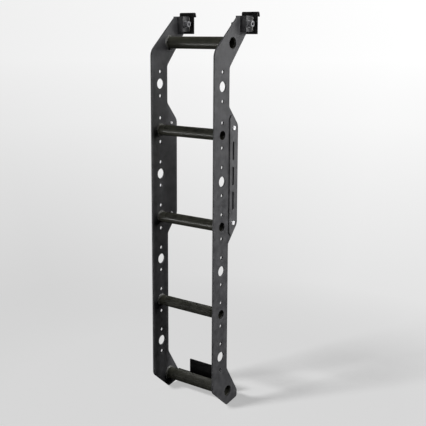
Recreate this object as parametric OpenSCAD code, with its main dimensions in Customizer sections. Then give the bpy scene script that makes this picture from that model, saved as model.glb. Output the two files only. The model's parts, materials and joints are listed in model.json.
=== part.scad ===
// Tailgate ladder: two laser-cut side plates, five welded tube rungs, a hook at the head of each
// plate and an angle bracket behind the bottom rung. Millimetres, +Z up, +X to the climber's right,
// +Y towards the vehicle. The origin is on the right hook plate's flat back face.

/* [Rungs] */
// Clear width between the side plates
clear_width = 256; // [200:1:400]
// Spacing of the three middle rungs
rung_pitch = 305; // [270:1:350]
// Height of the top rung over the second one
top_pitch = 294; // [270:1:320]
// Drop from the fourth rung to the bottom one
bottom_pitch = 291; // [270:1:320]
// How far the top rung sits behind the middle rungs
top_rung_back = 52; // [46:1:58]
// How far the bottom rung sits behind the middle rungs
bottom_rung_back = 43; // [36:1:50]
// Outer diameter of the three middle rungs
rung_od = 36; // [28:0.5:40]
// Outer diameter of the top and bottom rungs
end_rung_od = 41; // [32:0.5:46]
// Wall of every rung tube
rung_wall = 3; // [1.5:0.1:4]

/* [Side plates] */
// Thickness of a side plate
plate_t = 5; // [3:0.5:8]
// From the middle rungs' axes to the front edge
front_margin = 46; // [40:0.5:60]
// From the middle rungs' axes to the back edge
back_margin = 36.5; // [30:0.5:45]
// Diameter of the round lightening holes
lighten_d = 35; // [20:0.5:45]
// Height of the top lightening hole over the second rung
top_lighten_z = 157; // [147:0.5:160]
// Diameter of the small fixing holes
fixing_d = 12.5; // [6:0.5:14]
// From a rung, or from a left lightening hole, to the fixing holes beside it
fixing_gap = 41; // [36:0.5:46]
// From a right lightening hole to the fixing holes beside it
right_fixing_gap = 47; // [42:0.5:50]
// How much the plate's hole is wider than the bore of a middle rung
bore_step = 0.5; // [0:0.1:2]
// How much the plate's hole is wider than the bore of the top and bottom rungs
end_bore_step = 3; // [0:0.1:4]

/* [Head of a side plate] */
// Height over the second rung at which the front edge turns back
head_front_z = 267; // [250:1:280]
// Height over the second rung at which the back edge turns back
neck_z = 217; // [205:1:230]
// Height of the head's flat top over the second rung
head_top_z = 381; // [375:1:390]
// Front end of the flat top, behind the middle rungs' axes
head_top_y = 82; // [74:1:86]
// Front face of the hook plate, which the head stops at
hook_seat_y = 128; // [120:1:140]
// Height at which the sloped back edge meets the hook plate
heel_of_head_z = 323; // [310:1:330]
// Radius of the front turn
front_turn_r = 38; // [10:1:60]
// Radius of the neck
neck_r = 20; // [5:1:30]

/* [Foot of a side plate] */
// Height over the bottom rung's axis at which the front edge turns in
foot_front_rise = 22; // [11:1:31]
// Depth of the foot's tip below the bottom rung's axis
tip_drop = 51; // [44:1:64]
// Tip's place behind the middle rungs' axes
tip_y = 38; // [30:1:46]
// Depth of the foot's back corner below the bottom rung's axis
foot_back_drop = 40; // [35:1:43]
// Depth below the bottom rung's axis at which the foot's back edge ends
flare_bottom_drop = 14; // [4:1:24]
// Back edge of the foot behind the middle rungs' axes
foot_back_y = 99; // [92:1:106]
// Height over the bottom rung's axis at which the back edge starts to flare
flare_top_rise = 86; // [71:1:96]
// Radius of the foot's front corner
foot_front_r = 26; // [5:1:30]

/* [Wing] */
// Back edge of the wing behind the middle rungs' axes
wing_back_y = 88; // [80:1:95]
// Depth of the wing's middle below the second rung
wing_drop = 140; // [135:1:145]
// Length of the wing at its root
wing_root_length = 460; // [430:1:480]
// Length of the wing's back edge
wing_back_length = 336; // [320:1:350]
// Radius of the wing's four corners
wing_r = 28; // [5:1:40]

/* [Wing panel] */
// Thickness of the panel on the outside of the wing
panel_t = 5; // [3:0.5:8]
// Length of the panel's front edge
panel_front_length = 381; // [360:1:390]
// Margin from the wing's sloped and back edges to the panel's
panel_inset = 9; // [6:0.5:12]
// Cut across each front corner, along Y
panel_trim = 9; // [5:1:14]
// Width of the panel's upright slots
slot_w = 10; // [5:0.5:14]
// Length of each slot
slot_length = 62; // [30:1:70]
// Gap between one slot and the next
slot_gap = 22; // [12:1:30]
// Number of slots
slot_count = 3; // [1:1:3]
// Place of the slots and screws behind the middle rungs' axes
panel_row_y = 55; // [52:1:60]
// Distance between the panel's two screws
screw_span = 320; // [300:1:330]
// Diameter of a panel screw's shank
screw_d = 8; // [5:0.5:10]
// How far a panel screw's end stands out of the side plate's inner face
screw_end = 5; // [1:0.5:8]

/* [Hooks] */
// Thickness of the hook plate
hook_t = 3; // [2:0.5:5]
// Width of the hook plate
hook_w = 62; // [56:1:80]
// Height of the hook plate
hook_h = 72; // [66:1:90]
// Height of the hook plate's bottom edge over the second rung
hook_bottom_z = 322; // [318:1:324]
// How far the hook plate's middle sits to the right of its side plate's middle
hook_shift = 15; // [8:1:18]
// Inner radius of the bend over the vehicle's edge
hook_bend_r = 3; // [2.5:0.5:6]
// Angle between the lip and the hook plate
lip_angle = 14; // [0:1:30]
// Straight length of the lip
lip_length = 11; // [6:0.5:20]
// Depth of both cheeks, front to back
cheek_depth = 35; // [32:1:40]
// Height of both cheeks
cheek_h = 52; // [46:1:56]
// Width of the cheek on the side plate's right
wide_cheek_w = 24; // [16:0.5:28]
// Width of the cheek on the side plate's left
narrow_cheek_w = 13; // [8:0.5:16]
// Wall of the wide cheek's tube
cheek_wall = 4; // [2:0.5:6]
// Diameter of the hook bolt's shank
bolt_d = 12; // [8:0.5:14]
// Bolt's place behind the middle rungs' axes
bolt_y = 105; // [104:0.5:112]
// Bolt's height over the second rung
bolt_z = 355; // [350:0.5:360]
// How far the bolt's end stands out of its nut
bolt_end = 10; // [2:0.5:16]

/* [Foot bracket] */
// Thickness of the bracket's sheet
bracket_t = 4; // [2:0.5:6]
// Depth of the bracket's flat top below the bottom rung's axis
bracket_drop = 5; // [0:0.5:12]
// Back face of the bracket behind the middle rungs' axes
bracket_back_y = 98; // [90:1:105]
// Height of the low turned-up edge over the flat
low_lip_h = 3; // [1:0.5:10]
// Width of the upright tongue
tongue_w = 147; // [80:1:200]
// Height of the tongue over the flat
tongue_h = 54; // [30:1:80]

/* [Hidden] */
$fn = 48;

// Degrees of each step round a fillet of an outline
arc_step = 8;
// How far a cutter runs past the faces it cuts
past = 1;
left = -1;
right = 1;

// Places behind the middle rungs' axes and over the second rung
bottom_rung_z = -2 * rung_pitch - bottom_pitch;
rungs = [
    [top_rung_back, top_pitch],
    [0, 0],
    [0, -rung_pitch],
    [0, -2 * rung_pitch],
    [bottom_rung_back, bottom_rung_z]
];
lighten_z = [top_lighten_z, -0.5 * rung_pitch, -1.5 * rung_pitch, -2.5 * rung_pitch];
plate_middle = (clear_width + plate_t) / 2;
wing_root_z = wing_root_length / 2;
wing_back_z = wing_back_length / 2;

// Socket-head hook bolt, its washers and its nut, from the shank's size
bolt_head_d = 1.58 * bolt_d;
bolt_head_h = bolt_d;
bolt_socket_af = 0.83 * bolt_d;
bolt_socket_depth = 0.55 * bolt_d;
bolt_clearance = 1;
washer_d = 2 * bolt_d;
washer_t = 2.5;
spring_washer_d = 1.75 * bolt_d;
spring_washer_t = 0.2 * bolt_d;
// Play of a plain shank in the hole that stands for its thread
thread_play = 0.1;
nut_af = 1.5 * bolt_d;
nut_h = 0.85 * bolt_d;

// Button-head panel screw, tapped into the side plate, from the shank's size
screw_head_d = 1.75 * screw_d;
screw_head_h = 0.55 * screw_d;
screw_socket_af = 0.625 * screw_d;
screw_clearance = 1;

hook_back_y = hook_seat_y + hook_t;
hook_top_r = hook_bend_r + hook_t;
hook_flat_h = hook_h - hook_top_r;
origin = [plate_middle + hook_shift, hook_back_y, hook_bottom_z + hook_flat_h / 2];

// Radii of the side plate's corners that have no size of their own above
tip_r = 6;
foot_back_r = 9;
flare_r = 20;
wing_root_r = 15;
seat_r = 3;
head_top_r = 6;
// Radii of the wing panel's back corners, and of its four front ones
panel_back_r = 20;
panel_front_r = 3;

// Points of the fillet of radius r at corner b, on the way from a to c
function unit(v) = v / norm(v);
function fillet(a, b, c, r) =
    let (
        u = unit(a - b),
        w = unit(c - b),
        half = acos(u * w) / 2,
        centre = b + unit(u + w) * r / sin(half),
        p = b + u * r / tan(half) - centre,
        q = b + w * r / tan(half) - centre,
        from = atan2(p[1], p[0]),
        sweep = (atan2(q[1], q[0]) - from + 540) % 360 - 180,
        steps = ceil(abs(sweep) / arc_step)
    )
    [for (i = [0:steps]) centre + r * [cos(from + sweep * i / steps), sin(from + sweep * i / steps)]];

// Outline through [y, z, radius] corners, each rounded by its own radius
function rounded(corners) =
    let (count = len(corners), at = [for (c = corners) [c[0], c[1]]])
    [for (i = [0:count - 1])
        each fillet(at[(i + count - 1) % count], at[i], at[(i + 1) % count], corners[i][2])];

function plate_outline() = rounded([
    [-front_margin, bottom_rung_z + foot_front_rise, foot_front_r],
    [tip_y, bottom_rung_z - tip_drop, tip_r],
    [foot_back_y, bottom_rung_z - foot_back_drop, foot_back_r],
    [foot_back_y, bottom_rung_z - flare_bottom_drop, foot_back_r],
    [back_margin, bottom_rung_z + flare_top_rise, flare_r],
    [back_margin, -wing_drop - wing_root_z, wing_root_r],
    [wing_back_y, -wing_drop - wing_back_z, wing_r],
    [wing_back_y, -wing_drop + wing_back_z, wing_r],
    [back_margin, -wing_drop + wing_root_z, wing_root_r],
    [back_margin, neck_z, neck_r],
    [hook_seat_y, heel_of_head_z, seat_r],
    [hook_seat_y, head_top_z, seat_r],
    [head_top_y, head_top_z, head_top_r],
    [-front_margin, head_front_z, front_turn_r]
]);

// The panel's outline about the wing's middle: the wing's own slopes moved in by the inset
slope_run = (wing_root_z - wing_back_z) / (wing_back_y - back_margin);
panel_back_y = wing_back_y - panel_inset;
panel_slope_z = wing_root_z - panel_inset * sqrt(1 + slope_run * slope_run);
function panel_edge_z(y) = panel_slope_z - slope_run * (y - back_margin);
function panel_outline() = rounded([
    [back_margin, -panel_front_length / 2, panel_front_r],
    [back_margin + panel_trim, -panel_edge_z(back_margin + panel_trim), panel_front_r],
    [panel_back_y, -panel_edge_z(panel_back_y), panel_back_r],
    [panel_back_y, panel_edge_z(panel_back_y), panel_back_r],
    [back_margin + panel_trim, panel_edge_z(back_margin + panel_trim), panel_front_r],
    [back_margin, panel_front_length / 2, panel_front_r]
]);

// Side view of a hook: the plate, the bend over its top and the short lip behind
bend_steps = 15;
function bend_arc(r) = [
    for (i = [0:bend_steps]) let (a = 180 - (180 - lip_angle) * i / bend_steps) r * [cos(a), sin(a)]];
function hook_outline() =
    let (
        centre = [hook_top_r, hook_flat_h],
        tip = lip_length * [sin(lip_angle), -cos(lip_angle)],
        outside = [for (p = bend_arc(hook_top_r)) centre + p],
        inside = [for (p = bend_arc(hook_bend_r)) centre + p]
    )
    concat([[0, 0]], outside, [outside[bend_steps] + tip, inside[bend_steps] + tip],
        [for (i = [bend_steps:-1:0]) inside[i]], [[hook_t, 0]]);

// Moves the ladder's own frame, mid width at the second rung's axis, to the stored origin
module in_frame() {
    translate(-origin) children();
}

// A profile drawn in Y and Z, extruded along X from x
module along_x(x, length) {
    translate([x, 0, 0]) rotate([90, 0, 90]) linear_extrude(length) children();
}

// A cylinder along X from x, at [y, z]
module rod_x(x, length, at, d) {
    translate([x, at[0], at[1]]) rotate([0, 90, 0]) cylinder(d = d, h = length);
}

// A six-sided prism along X
module hex_x(x, length, at, af) {
    translate([x, at[0], at[1]]) rotate([0, 90, 0]) cylinder(d = af / cos(30), h = length, $fn = 6);
}

// Left face of the side plate, at its lower x
function plate_x(side) = side * plate_middle - plate_t / 2;

function rung_outer(i) = (i == 0 || i == len(rungs) - 1) ? end_rung_od : rung_od;
function rung_bore(i) = rung_outer(i) - 2 * rung_wall;
function rung_hole(i) = rung_bore(i) + ((i == 0 || i == len(rungs) - 1) ? end_bore_step : bore_step);
function lighten_gap(side) = side == right ? right_fixing_gap : fixing_gap;

module side_plate(side) {
    x = plate_x(side);
    module bore(at, d) {
        rod_x(x - past, plate_t + 2 * past, at, d);
    }
    color([0.16, 0.16, 0.17]) in_frame() difference() {
        along_x(x, plate_t) polygon(plate_outline());
        for (i = [0:len(rungs) - 1]) bore(rungs[i], rung_hole(i));
        for (i = [1:3], step = [-1, 1]) bore(rungs[i] + [0, step * fixing_gap], fixing_d);
        for (z = lighten_z) {
            bore([0, z], lighten_d);
            for (step = [-1, 1]) bore([0, z + step * lighten_gap(side)], fixing_d);
        }
        for (step = [-1, 1]) bore(screw_at(step), screw_d + thread_play);
        bore([bolt_y, bolt_z], bolt_d + bolt_clearance);
    }
}

module rung(i) {
    color([0.13, 0.13, 0.11]) in_frame() difference() {
        rod_x(-clear_width / 2, clear_width, rungs[i], rung_outer(i));
        rod_x(-clear_width / 2 - past, clear_width + 2 * past, rungs[i], rung_bore(i));
    }
}

// Angle bracket: a flat coped to the bottom rung, a low turned-up edge and a tall middle tongue
module foot_bracket() {
    bottom = rungs[len(rungs) - 1];
    flat_z = bottom[1] - bracket_drop;
    wall_y = bracket_back_y - bracket_t;
    color([0.09, 0.09, 0.09]) in_frame() difference() {
        union() {
            translate([-clear_width / 2, bottom[0], flat_z - bracket_t])
                cube([clear_width, bracket_back_y - bottom[0], bracket_t]);
            translate([-clear_width / 2, wall_y, flat_z - bracket_t])
                cube([clear_width, bracket_t, bracket_t + low_lip_h]);
            translate([-tongue_w / 2, wall_y, flat_z - bracket_t])
                cube([tongue_w, bracket_t, bracket_t + tongue_h]);
        }
        rod_x(-clear_width, 2 * clear_width, bottom, end_rung_od);
    }
}

// Place of the upper or lower panel screw
function screw_at(step) = [panel_row_y, -wing_drop + step * screw_span / 2];

// Places a piece drawn outwards from x = 0 on the outer face of a side plate
module on_outer_face(side) {
    mirror([side == left ? 1 : 0, 0, 0]) translate([clear_width / 2 + plate_t, 0, 0]) children();
}

module wing_panel(side) {
    slot_pitch = slot_length + slot_gap;
    reach = slot_length / 2 - slot_w / 2;
    color([0.17, 0.17, 0.18]) in_frame() on_outer_face(side) difference() {
        translate([0, 0, -wing_drop]) along_x(0, panel_t) polygon(panel_outline());
        for (step = [-1, 1]) rod_x(-past, panel_t + 2 * past, screw_at(step), screw_d + screw_clearance);
        for (i = [0:slot_count - 1]) {
            z = -wing_drop + (i - (slot_count - 1) / 2) * slot_pitch;
            for (end = [-1, 1]) rod_x(-past, panel_t + 2 * past, [panel_row_y, z + end * reach], slot_w);
            translate([-past, panel_row_y - slot_w / 2, z - reach])
                cube([panel_t + 2 * past, slot_w, 2 * reach]);
        }
    }
}

module panel_screws(side) {
    shank = panel_t + plate_t + screw_end;
    color([0.75, 0.75, 0.77]) in_frame() on_outer_face(side) for (step = [-1, 1]) {
        at = screw_at(step);
        difference() {
            union() {
                rod_x(panel_t, screw_head_h, at, screw_head_d);
                rod_x(panel_t - shank, shank + screw_head_h / 2, at, screw_d);
            }
            hex_x(panel_t + screw_head_h * 0.4, screw_head_h, at, screw_socket_af);
        }
    }
}

// Both hooks are the same hand, so each hangs on its side plate in the same way
module hook_plate(side) {
    color([0.08, 0.08, 0.08]) in_frame()
        translate([0, hook_seat_y, hook_bottom_z])
            along_x(side * plate_middle + hook_shift - hook_w / 2, hook_w) polygon(hook_outline());
}

function cheek_bottom_z() = hook_bottom_z + (hook_flat_h - cheek_h) / 2;

// Short length of square tube, open at top and bottom
module wide_cheek(side) {
    x = plate_x(side) + plate_t;
    y = hook_seat_y - cheek_depth;
    z = cheek_bottom_z();
    color([0.2, 0.2, 0.21]) in_frame() difference() {
        translate([x, y, z]) cube([wide_cheek_w, cheek_depth, cheek_h]);
        translate([x + cheek_wall, y + cheek_wall, z - past])
            cube([wide_cheek_w - 2 * cheek_wall, cheek_depth - 2 * cheek_wall, cheek_h + 2 * past]);
        rod_x(x - past, wide_cheek_w + 2 * past, [bolt_y, bolt_z], bolt_d + bolt_clearance);
    }
}

module narrow_cheek(side) {
    x = plate_x(side) - narrow_cheek_w;
    color([0.09, 0.09, 0.09]) in_frame() difference() {
        translate([x, hook_seat_y - cheek_depth, cheek_bottom_z()])
            cube([narrow_cheek_w, cheek_depth, cheek_h]);
        rod_x(x - past, narrow_cheek_w + 2 * past, [bolt_y, bolt_z], bolt_d + bolt_clearance);
    }
}

// Ends of the clamped stack along X: the wide cheek's right face and the narrow cheek's left face
function stack_right(side) = plate_x(side) + plate_t + wide_cheek_w;
function stack_left(side) = plate_x(side) - narrow_cheek_w;

module hook_bolt(side) {
    head_x = stack_right(side) + washer_t + spring_washer_t;
    end_x = stack_left(side) - washer_t - nut_h - bolt_end;
    at = [bolt_y, bolt_z];
    color([0.6, 0.6, 0.62]) in_frame() difference() {
        union() {
            rod_x(head_x, bolt_head_h, at, bolt_head_d);
            rod_x(end_x, head_x - end_x + bolt_head_h / 4, at, bolt_d);
        }
        hex_x(head_x + bolt_head_h - bolt_socket_depth, bolt_head_h, at, bolt_socket_af);
    }
}

// A flat washer on each end of the stack and a spring washer under the bolt's head
module hook_washers(side) {
    module ring(x, d, t) {
        at = [bolt_y, bolt_z];
        difference() {
            rod_x(x, t, at, d);
            rod_x(x - past, t + 2 * past, at, bolt_d + bolt_clearance);
        }
    }
    color([0.6, 0.6, 0.62]) in_frame() {
        ring(stack_right(side), washer_d, washer_t);
        ring(stack_right(side) + washer_t, spring_washer_d, spring_washer_t);
        ring(stack_left(side) - washer_t, washer_d, washer_t);
    }
}

module hook_nut(side) {
    x = stack_left(side) - washer_t - nut_h;
    at = [bolt_y, bolt_z];
    color([0.6, 0.6, 0.62]) in_frame() difference() {
        hex_x(x, nut_h, at, nut_af);
        rod_x(x - past, nut_h + 2 * past, at, bolt_d + thread_play);
    }
}

side_plate(left);  // left_side_plate
side_plate(right);  // right_side_plate
rung(0);  // top_rung
rung(1);  // second_rung
rung(2);  // third_rung
rung(3);  // fourth_rung
rung(4);  // bottom_rung
foot_bracket();
wing_panel(left);  // left_wing_panel
wing_panel(right);  // right_wing_panel
panel_screws(left);  // left_panel_screws
panel_screws(right);  // right_panel_screws
hook_plate(left);  // left_hook_plate
hook_plate(right);  // right_hook_plate
wide_cheek(left);  // left_hook_wide_cheek
wide_cheek(right);  // right_hook_wide_cheek
narrow_cheek(left);  // left_hook_narrow_cheek
narrow_cheek(right);  // right_hook_narrow_cheek
hook_bolt(left);  // left_hook_bolt
hook_bolt(right);  // right_hook_bolt
hook_washers(left);  // left_hook_washers
hook_washers(right);  // right_hook_washers
hook_nut(left);  // left_hook_nut
hook_nut(right);  // right_hook_nut
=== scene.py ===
import json
import math

import bmesh
import bpy
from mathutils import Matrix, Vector


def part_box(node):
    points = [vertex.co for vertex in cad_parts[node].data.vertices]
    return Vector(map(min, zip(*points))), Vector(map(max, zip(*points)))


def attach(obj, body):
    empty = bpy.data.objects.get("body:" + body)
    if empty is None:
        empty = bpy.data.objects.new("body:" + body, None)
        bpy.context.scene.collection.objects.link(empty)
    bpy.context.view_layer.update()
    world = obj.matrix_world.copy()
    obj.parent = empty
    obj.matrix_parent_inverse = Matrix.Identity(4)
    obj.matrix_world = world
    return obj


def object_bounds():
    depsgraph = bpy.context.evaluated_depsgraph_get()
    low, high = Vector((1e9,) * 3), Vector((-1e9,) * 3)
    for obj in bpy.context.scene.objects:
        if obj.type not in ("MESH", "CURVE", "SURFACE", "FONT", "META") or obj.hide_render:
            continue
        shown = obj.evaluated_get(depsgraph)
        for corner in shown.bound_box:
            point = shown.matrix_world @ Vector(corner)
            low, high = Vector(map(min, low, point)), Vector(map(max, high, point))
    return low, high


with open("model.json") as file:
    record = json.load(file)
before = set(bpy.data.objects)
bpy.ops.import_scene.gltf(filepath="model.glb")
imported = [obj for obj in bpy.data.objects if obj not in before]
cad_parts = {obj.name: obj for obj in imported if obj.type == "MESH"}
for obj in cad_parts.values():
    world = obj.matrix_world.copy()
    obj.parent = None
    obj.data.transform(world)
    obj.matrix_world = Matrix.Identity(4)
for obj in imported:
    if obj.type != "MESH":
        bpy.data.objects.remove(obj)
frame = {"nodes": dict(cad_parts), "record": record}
cad_lo, cad_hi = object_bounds()
nodes = frame["nodes"]

RUNGS = ["top_rung", "second_rung", "third_rung", "fourth_rung", "bottom_rung"]
SIDES = ["left", "right"]


# Materials

def shader(name):
    """A new node material, its node tree and its main shader."""
    m = bpy.data.materials.new(name)
    m.use_nodes = True
    tree = m.node_tree
    return m, tree, tree.nodes["Principled BSDF"]


def noise(tree, coords, scale, detail=3.0, rough=0.55):
    n = tree.nodes.new("ShaderNodeTexNoise")
    n.inputs["Scale"].default_value = scale
    n.inputs["Detail"].default_value = detail
    n.inputs["Roughness"].default_value = rough
    tree.links.new(coords, n.inputs["Vector"])
    return n.outputs["Fac"]


def object_coords(tree):
    return tree.nodes.new("ShaderNodeTexCoord").outputs["Object"]


def remap(tree, value, lo, hi, a=0.0, b=1.0):
    """Maps a value's range a to b onto lo to hi."""
    n = tree.nodes.new("ShaderNodeMapRange")
    n.inputs["From Min"].default_value = a
    n.inputs["From Max"].default_value = b
    n.inputs["To Min"].default_value = lo
    n.inputs["To Max"].default_value = hi
    tree.links.new(value, n.inputs["Value"])
    return n.outputs["Result"]


def combine(tree, operation, first, second):
    """A math node on two sockets."""
    n = tree.nodes.new("ShaderNodeMath")
    n.operation = operation
    tree.links.new(first, n.inputs[0])
    tree.links.new(second, n.inputs[1])
    return n.outputs[0]


def bump(tree, height, strength, distance, before=None):
    n = tree.nodes.new("ShaderNodeBump")
    n.inputs["Strength"].default_value = strength
    n.inputs["Distance"].default_value = distance
    tree.links.new(height, n.inputs["Height"])
    if before is not None:
        tree.links.new(before, n.inputs["Normal"])
    return n.outputs["Normal"]


def colours(tree, value, stops):
    n = tree.nodes.new("ShaderNodeValToRGB")
    ramp = n.color_ramp
    while len(ramp.elements) < len(stops):
        ramp.elements.new(0.5)
    for e, (at, c) in zip(ramp.elements, stops):
        e.position = at
        e.color = (*c, 1.0)
    tree.links.new(value, n.inputs["Fac"])
    return n.outputs["Color"]


def powder_coat(name, dark, light, rough, grain=0.5, specular=0.5, edge=0.0008):
    """Baked powder coat: fine orange peel, a little mottling and softly rounded edges."""
    m, tree, bsdf = shader(name)
    at = object_coords(tree)
    mottle = noise(tree, at, 45.0, 4.0)
    speck = noise(tree, at, 700.0, 2.0)
    mix = tree.nodes.new("ShaderNodeMath")
    mix.operation = "MULTIPLY_ADD"
    mix.inputs[1].default_value = 0.45
    tree.links.new(speck, mix.inputs[0])
    tree.links.new(remap(tree, mottle, 0.0, 0.55, 0.3, 0.7), mix.inputs[2])
    tree.links.new(colours(tree, mix.outputs[0], [(0.15, dark), (0.75, light)]),
                   bsdf.inputs["Base Color"])
    tree.links.new(remap(tree, mottle, rough - 0.05, rough + 0.05, 0.3, 0.7),
                   bsdf.inputs["Roughness"])
    bsdf.inputs["Specular IOR Level"].default_value = specular
    rounded = tree.nodes.new("ShaderNodeBevel")
    rounded.samples = 4
    rounded.inputs["Radius"].default_value = edge
    peel = noise(tree, at, 520.0, 2.0)
    coarse = noise(tree, at, 210.0, 2.0)
    n1 = bump(tree, coarse, grain, 0.0006, rounded.outputs["Normal"])
    tree.links.new(bump(tree, peel, grain, 0.0003, n1), bsdf.inputs["Normal"])
    return m


def metal(name, dark, light, rough, metallic, grain=0.3, along="Z"):
    """Turned or plated steel with fine lines and small colour changes."""
    m, tree, bsdf = shader(name)
    at = object_coords(tree)
    stretch = tree.nodes.new("ShaderNodeMapping")
    stretch.inputs["Scale"].default_value = {"X": (0.1, 1, 1), "Z": (1, 1, 0.1)}[along]
    tree.links.new(at, stretch.inputs["Vector"])
    lines = noise(tree, stretch.outputs["Vector"], 1500.0, 2.0)
    tone = noise(tree, at, 160.0, 3.0)
    tree.links.new(colours(tree, tone, [(0.35, dark), (0.65, light)]), bsdf.inputs["Base Color"])
    tree.links.new(remap(tree, lines, rough - 0.06, rough + 0.08, 0.3, 0.7),
                   bsdf.inputs["Roughness"])
    bsdf.inputs["Metallic"].default_value = metallic
    tree.links.new(bump(tree, lines, grain, 0.0001), bsdf.inputs["Normal"])
    return m


PLATE = powder_coat("plate_coat", (0.024, 0.024, 0.026), (0.055, 0.055, 0.058), 0.55)
PANEL = powder_coat("panel_coat", (0.036, 0.036, 0.038), (0.078, 0.078, 0.081), 0.55)
TUBE = powder_coat("rung_coat", (0.018, 0.018, 0.014), (0.036, 0.036, 0.028), 0.38, 0.3)
# The foot bracket's colour is set about ten times darker than the plates' black coat: partly its own
# black, partly painted shade for the shade it sits in behind the bottom rung
BRACKET_BLACK_AND_SHADE = powder_coat("bracket_coat_and_painted_shade", (0.002, 0.002, 0.002), (0.004, 0.004, 0.004), 0.55, 0.4, 0.2)
HOOK = powder_coat("hook_coat", (0.005, 0.005, 0.005), (0.010, 0.010, 0.010), 0.50, 0.4, 0.3)
CHEEK = powder_coat("cheek_coat", (0.026, 0.026, 0.027), (0.052, 0.052, 0.054), 0.45, 0.5)
GRIP = powder_coat("grip_tape", (0.007, 0.007, 0.005), (0.030, 0.030, 0.024), 0.70, 1.0, 0.3, 0.0002)
# The weld beads carry the same black powder coat as the plates, but their colour is set several times
# lighter as a painted highlight, the glint on the beads; their gloss is real
WELD_PAINTED_HIGHLIGHT = powder_coat("weld_coat_painted_highlight", (0.075, 0.075, 0.070), (0.160, 0.160, 0.150), 0.26, 0.15, 0.7)
BRIGHT = metal("bright_steel", (0.80, 0.80, 0.82), (0.95, 0.95, 0.96), 0.30, 0.20)
DARK = metal("black_steel", (0.10, 0.10, 0.105), (0.22, 0.22, 0.23), 0.34, 0.5, along="X")

FINISHES = {
    "side_plate": PLATE, "rung": TUBE, "foot_bracket": BRACKET_BLACK_AND_SHADE, "wing_panel": PANEL,
    "screw": BRIGHT, "hook": HOOK, "cheek": CHEEK, "bolt": DARK, "washer": DARK, "nut": DARK,
}
slot_of = {s["node"]: s["material_slot"] for s in frame["record"]["subparts"]}
for name, obj in nodes.items():
    for i in range(len(obj.material_slots)):
        obj.material_slots[i].material = FINISHES[slot_of[name]]


# Mesh pieces

# Angle between two faces from which their edge stays sharp
SHARP = math.radians(40)


def add(name, verts, faces, finish):
    """A new mesh piece on the ladder's body, smooth apart from its sharp corners."""
    mesh = bpy.data.meshes.new(name)
    mesh.from_pydata([tuple(v) for v in verts], [], faces)
    bm = bmesh.new()
    bm.from_mesh(mesh)
    bmesh.ops.recalc_face_normals(bm, faces=bm.faces)
    for f in bm.faces:
        f.smooth = True
    for e in bm.edges:
        if len(e.link_faces) == 2 and e.calc_face_angle() > SHARP:
            e.smooth = False
    bm.to_mesh(mesh)
    bm.free()
    obj = bpy.data.objects.new(name, mesh)
    bpy.context.scene.collection.objects.link(obj)
    mesh.materials.append(finish)
    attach(obj, "root")
    return obj


# Grip tape over every rung but the top one: thickness, bare length at each end, radius of its
# corners, and its front and back edges as degrees over the rung's front
TAPE_T = 0.0012
TAPE_MARGIN = 0.028
TAPE_CORNER = 0.006
HIGH_TAPE = (16, 172)
LOW_TAPE = (-34, 150)


def grip_tape(rung, edges):
    """A strip of grip tape wrapped over a rung, with rounded ends."""
    lo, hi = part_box(rung)
    mid, inner = (lo + hi) / 2, (hi.z - lo.z) / 2
    outer = inner + TAPE_T
    steps, corner_steps = 32, 5
    first, last = (math.radians(a) for a in edges)
    x0, x1 = lo.x + TAPE_MARGIN, hi.x - TAPE_MARGIN
    # Narrower at both ends, so that the tape's corners are round
    sections = []
    for i in range(corner_steps + 1):
        t = math.pi / 2 * i / corner_steps
        sections.append((TAPE_CORNER * (1 - math.sin(t)), TAPE_CORNER * (1 - math.cos(t))))
    places = [(x0 + along, cut) for cut, along in sections]
    places += [(x1 - along, cut) for cut, along in reversed(sections)]
    verts, faces = [], []
    for x, cut in places:
        a, b = first + cut / outer, last - cut / outer
        for r, way in ((outer, 1), (inner, -1)):
            for j in range(steps + 1):
                t = j / steps if way == 1 else 1 - j / steps
                angle = a + (b - a) * t
                verts.append((x, mid.y - r * math.cos(angle), mid.z + r * math.sin(angle)))
    n = 2 * (steps + 1)
    for i in range(len(places) - 1):
        for j in range(n):
            k = (j + 1) % n
            faces.append((i * n + j, i * n + k, (i + 1) * n + k, (i + 1) * n + j))
    for base in (0, (len(places) - 1) * n):
        for j in range(steps):
            faces.append((base + j, base + j + 1, base + n - 2 - j, base + n - 1 - j))
    return add(rung + "_grip_tape", verts, faces, GRIP)


for rung in RUNGS[1:]:
    grip_tape(rung, LOW_TAPE if rung in ("fourth_rung", "bottom_rung") else HIGH_TAPE)


# Weld seams

ACROSS = 7


def ring_weld(name, at, into, radius, size):
    """A fillet weld round a rung's end. into is +1 or -1 along X, away from the plate."""
    turns, ripples = 180, 46
    verts, faces = [], []
    for i in range(turns):
        a = math.tau * i / turns
        swell = 1 + 0.13 * abs(math.sin(a * ripples / 2)) + 0.06 * math.sin(3 * a + 0.7)
        for j in range(ACROSS):
            t = math.pi / 2 * j / (ACROSS - 1)
            bulge = 1 + 0.22 * math.sin(2 * t)
            r = radius + size * swell * (1 - math.sin(t)) * bulge
            lag = 0.012 * math.sin(2 * t)
            verts.append((at[0] + into * size * swell * (1 - math.cos(t)) * bulge,
                          at[1] + r * math.cos(a + lag), at[2] + r * math.sin(a + lag)))
        root = radius - 0.0005
        verts.append((at[0], at[1] + root * math.cos(a), at[2] + root * math.sin(a)))
    n = ACROSS + 1
    for i in range(turns):
        k = (i + 1) % turns
        for j in range(n):
            l = (j + 1) % n
            faces.append((i * n + j, i * n + l, k * n + l, k * n + j))
    return add(name, verts, faces, WELD_PAINTED_HIGHLIGHT)


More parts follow.
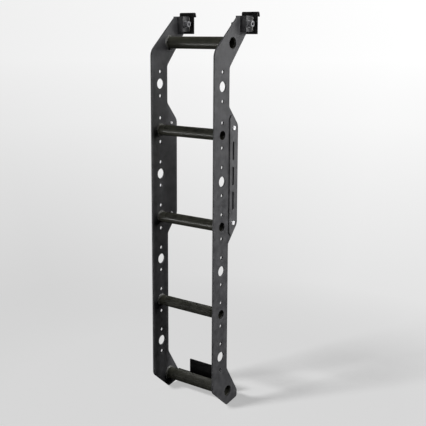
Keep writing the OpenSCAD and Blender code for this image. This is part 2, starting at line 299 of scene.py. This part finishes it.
def line_weld(name, start, end, normal_a, normal_b, size, ripple=0.0035):
    """A fillet weld along a straight inner corner, leaning on faces with these two normals."""
    start, end = Vector(start), Vector(end)
    a, b = Vector(normal_a), Vector(normal_b)
    length = (end - start).length
    steps = max(24, int(length / 0.0007))
    verts, faces = [], []
    for i in range(steps + 1):
        t = i / steps
        taper = min(1.0, 12 * t + 0.25, 12 * (1 - t) + 0.25)
        swell = (0.86 + 0.2 * abs(math.sin(math.pi * t * length / ripple))) * taper
        p = start.lerp(end, t)
        for j in range(ACROSS):
            u = math.pi / 2 * j / (ACROSS - 1)
            bulge = 1 + 0.22 * math.sin(2 * u)
            verts.append(p + a * (size * swell * (1 - math.sin(u)) * bulge)
                         + b * (size * swell * (1 - math.cos(u)) * bulge))
        verts.append(p)
    n = ACROSS + 1
    for i in range(steps):
        for j in range(n):
            l = (j + 1) % n
            faces.append((i * n + j, i * n + l, (i + 1) * n + l, (i + 1) * n + j))
    faces.append(tuple(range(n)))
    faces.append(tuple(reversed([steps * n + j for j in range(n)])))
    return add(name, verts, faces, WELD_PAINTED_HIGHLIGHT)


RING_SIZE = 0.0042
SEAM_SIZE = 0.0030
# Sheet that the bracket's seams stop short of, with room for their own size
BRACKET_WALL = 0.006
# Depth of the foot bracket's flat top below the bottom rung's axis, as in the solids
BRACKET_DROP = 0.005

for rung in RUNGS:
    lo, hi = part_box(rung)
    mid, radius = (lo + hi) / 2, (hi.z - lo.z) / 2
    for side, x, into in (("left", lo.x, 1), ("right", hi.x, -1)):
        ring_weld(f"{side}_{rung}_weld", (x, mid.y, mid.z), into, radius, RING_SIZE)

bracket_lo, bracket_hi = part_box("foot_bracket")
rung_lo, rung_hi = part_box("bottom_rung")
flat_z = (rung_lo.z + rung_hi.z) / 2 - BRACKET_DROP
for side, x, into in (("left", bracket_lo.x, 1), ("right", bracket_hi.x, -1)):
    line_weld(f"{side}_bracket_weld", (x, rung_hi.y, flat_z), (x, bracket_hi.y - BRACKET_WALL, flat_z),
              (into, 0, 0), (0, 0, 1), SEAM_SIZE)

for side in SIDES:
    for kind in ("wide", "narrow"):
        lo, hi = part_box(f"{side}_hook_{kind}_cheek")
        x, into = (hi.x, 1) if kind == "wide" else (lo.x, -1)
        line_weld(f"{side}_{kind}_cheek_weld", (x, hi.y, lo.z + SEAM_SIZE),
                  (x, hi.y, hi.z - SEAM_SIZE), (into, 0, 0), (0, -1, 0), SEAM_SIZE)


# Camera

yaw, pitch = math.radians(38.086), math.radians(11.509)
photo_side = 426
focal_px = 828.4

cam_data = bpy.data.cameras.new("camera")
cam = bpy.data.objects.new("camera", cam_data)
bpy.context.scene.collection.objects.link(cam)
bpy.context.scene.camera = cam
cam.location = (1.5481, -2.307, -0.0245)
ahead = Vector((-math.sin(yaw) * math.cos(pitch), math.cos(yaw) * math.cos(pitch), -math.sin(pitch)))
cam.rotation_mode = "QUATERNION"
cam.rotation_quaternion = ahead.to_track_quat("-Z", "Y")
cam_data.sensor_width = 36.0
cam_data.lens = focal_px / photo_side * cam_data.sensor_width
cam_data.shift_x = 0.060
cam_data.shift_y = -0.030
cam_data.clip_start, cam_data.clip_end = 0.05, 200.0


# Floor and backdrop

floor_z = cad_lo.z
centre_x, centre_y = (cad_lo.x + cad_hi.x) / 2, (cad_lo.y + cad_hi.y) / 2
floor_radius, floor_sides = 60.0, 64
# Tones of the backdrop by the power of ten of the distance in metres, from the ladder's foot outwards
BACKDROP = [(0.0, (0.69,) * 3), (0.18, (0.73,) * 3), (0.38, (0.79,) * 3), (0.62, (0.87,) * 3),
            (1.0, (0.93,) * 3)]
# Power of ten at the last of those tones
LAST_POWER = 1.55
# Direction in which the backdrop grows lighter, level and to the right of the main view
LIGHTER_WAY = (0.787, 0.617, 0.0)
# Share of the tone at the dark and the light end of that way, and how far the way reaches
LEAN_TONES = (0.92, 1.08)
LEAN_REACH = 0.25
# Distances from the foot between which the lit floor gives way to the backdrop, in metres
SHADOWS_FADE = (0.7, 1.5)


def lean(tree, vector):
    """How far a vector points in the direction in which the backdrop grows lighter."""
    n = tree.nodes.new("ShaderNodeVectorMath")
    n.operation = "DOT_PRODUCT"
    n.inputs[1].default_value = LIGHTER_WAY
    tree.links.new(vector, n.inputs[0])
    return n.outputs["Value"]


FLOOR, tree, bsdf = shader("studio_floor")
bsdf.inputs["Base Color"].default_value = (0.50, 0.50, 0.50, 1)
bsdf.inputs["Roughness"].default_value = 0.7
bsdf.inputs["Specular IOR Level"].default_value = 0.0
bsdf.inputs["Emission Color"].default_value = (0.45, 0.45, 0.45, 1)
bsdf.inputs["Emission Strength"].default_value = 1.0
at = object_coords(tree)
length = tree.nodes.new("ShaderNodeVectorMath")
length.operation = "LENGTH"
tree.links.new(at, length.inputs[0])
distance = length.outputs["Value"]
decade = tree.nodes.new("ShaderNodeMath")
decade.operation = "LOGARITHM"
decade.inputs[1].default_value = 10.0
tree.links.new(distance, decade.inputs[0])
tone = colours(tree, remap(tree, decade.outputs[0], 0.0, 1.0, 0.0, LAST_POWER), BACKDROP)
share = combine(tree, "DIVIDE", lean(tree, at), remap(tree, distance, 1.5, 61.5, 0.0, 60.0))
glow = tree.nodes.new("ShaderNodeEmission")
tree.links.new(tone, glow.inputs["Color"])
tree.links.new(remap(tree, share, *LEAN_TONES, -LEAN_REACH, LEAN_REACH), glow.inputs["Strength"])
blend = tree.nodes.new("ShaderNodeMixShader")
tree.links.new(remap(tree, distance, 0.0, 1.0, *SHADOWS_FADE), blend.inputs["Fac"])
tree.links.new(bsdf.outputs["BSDF"], blend.inputs[1])
tree.links.new(glow.outputs["Emission"], blend.inputs[2])
tree.links.new(blend.outputs["Shader"], tree.nodes["Material Output"].inputs["Surface"])

turns = [math.tau * i / floor_sides for i in range(floor_sides)]
rim = [(floor_radius * math.cos(a), floor_radius * math.sin(a), 0) for a in turns]
mesh = bpy.data.meshes.new("floor")
mesh.from_pydata(rim, [], [tuple(range(floor_sides))])
mesh.materials.append(FLOOR)
floor = bpy.data.objects.new("floor", mesh)
floor.location = (centre_x, centre_y, floor_z)
bpy.context.scene.collection.objects.link(floor)
floor.visible_diffuse = False
floor.visible_glossy = False

world = bpy.data.worlds.new("studio")
bpy.context.scene.world = world
world.use_nodes = True
tree = world.node_tree
where = tree.nodes.new("ShaderNodeTexCoord")
split = tree.nodes.new("ShaderNodeSeparateXYZ")
tree.links.new(where.outputs["Generated"], split.inputs["Vector"])
tree.links.new(colours(tree, remap(tree, split.outputs["Z"], 0.0, 1.0, 0.0, 0.35),
                       [(0.0, BACKDROP[-1][1]), (1.0, (0.98,) * 3)]),
               tree.nodes["Background"].inputs["Color"])
tree.links.new(remap(tree, lean(tree, where.outputs["Generated"]), *LEAN_TONES, -LEAN_REACH, LEAN_REACH),
               tree.nodes["Background"].inputs["Strength"])
world.cycles_visibility.diffuse = False
world.cycles_visibility.glossy = False


# Lights: the sun shades only the floor, and the others only the ladder

def aim(obj, at):
    obj.rotation_mode = "QUATERNION"
    obj.rotation_quaternion = (Vector(at) - obj.location).to_track_quat("-Z", "Y")


def link(light, receivers, state):
    """Limits a light to these objects, or keeps them out of it."""
    chosen = bpy.data.collections.new(light.name + "_receivers")
    light.light_linking.receiver_collection = chosen
    for obj in receivers:
        chosen.objects.link(obj)
    for entry in chosen.collection_objects:
        entry.light_linking.link_state = state


def softbox(name, location, at, width, height, power, glossy=True, kept_out=()):
    data = bpy.data.lights.new(name, "AREA")
    data.shape = "RECTANGLE"
    data.size, data.size_y = width, height
    data.energy = power
    obj = bpy.data.objects.new(name, data)
    obj.location = location
    bpy.context.scene.collection.objects.link(obj)
    aim(obj, at)
    obj.visible_camera = False
    obj.visible_glossy = glossy
    link(obj, [floor, *kept_out], "EXCLUDE")
    return obj


mid_z = (cad_lo.z + cad_hi.z) / 2
softbox("side_strip", (3.0, centre_y - 0.03, mid_z + 0.9), (centre_x, centre_y, mid_z + 0.15),
        0.4, 2.2, 112)
softbox("back_fill", (2.4, 2.4, mid_z + 1.2), (centre_x, centre_y, mid_z), 1.6, 1.6, 42)
softbox("top_softbox", (-0.3, 0.9, mid_z + 2.6), (centre_x, centre_y, mid_z), 1.6, 1.6, 95, glossy=False)
low_rungs = [nodes["fourth_rung"], nodes["bottom_rung"]]
softbox("floor_strip", (-1.6, -1.9, floor_z + 0.25), (centre_x, centre_y, mid_z + 0.3), 2.4, 0.10, 19,
        kept_out=low_rungs)
softbox("left_fill", (-3.0, 0.8, mid_z + 0.8), (centre_x, centre_y, mid_z), 1.8, 1.8, 80)
softbox("front_fill", (-0.6, -3.0, mid_z + 0.9), (centre_x, centre_y, mid_z), 1.6, 1.6, 50, glossy=False)

sun_data = bpy.data.lights.new("sun", "SUN")
sun_data.energy = 2.1
sun_data.angle = math.radians(13)
sun = bpy.data.objects.new("sun", sun_data)
bpy.context.scene.collection.objects.link(sun)
sun.location = (-1.0, -1.9, 2.0)
aim(sun, (0, 0, 0))
link(sun, [floor], "INCLUDE")

scene = bpy.context.scene
scene.view_settings.view_transform = "Standard"
scene.view_settings.look = "None"
scene.view_settings.exposure = 0.0
scene.view_settings.gamma = 1.0

bpy.context.view_layer.update()
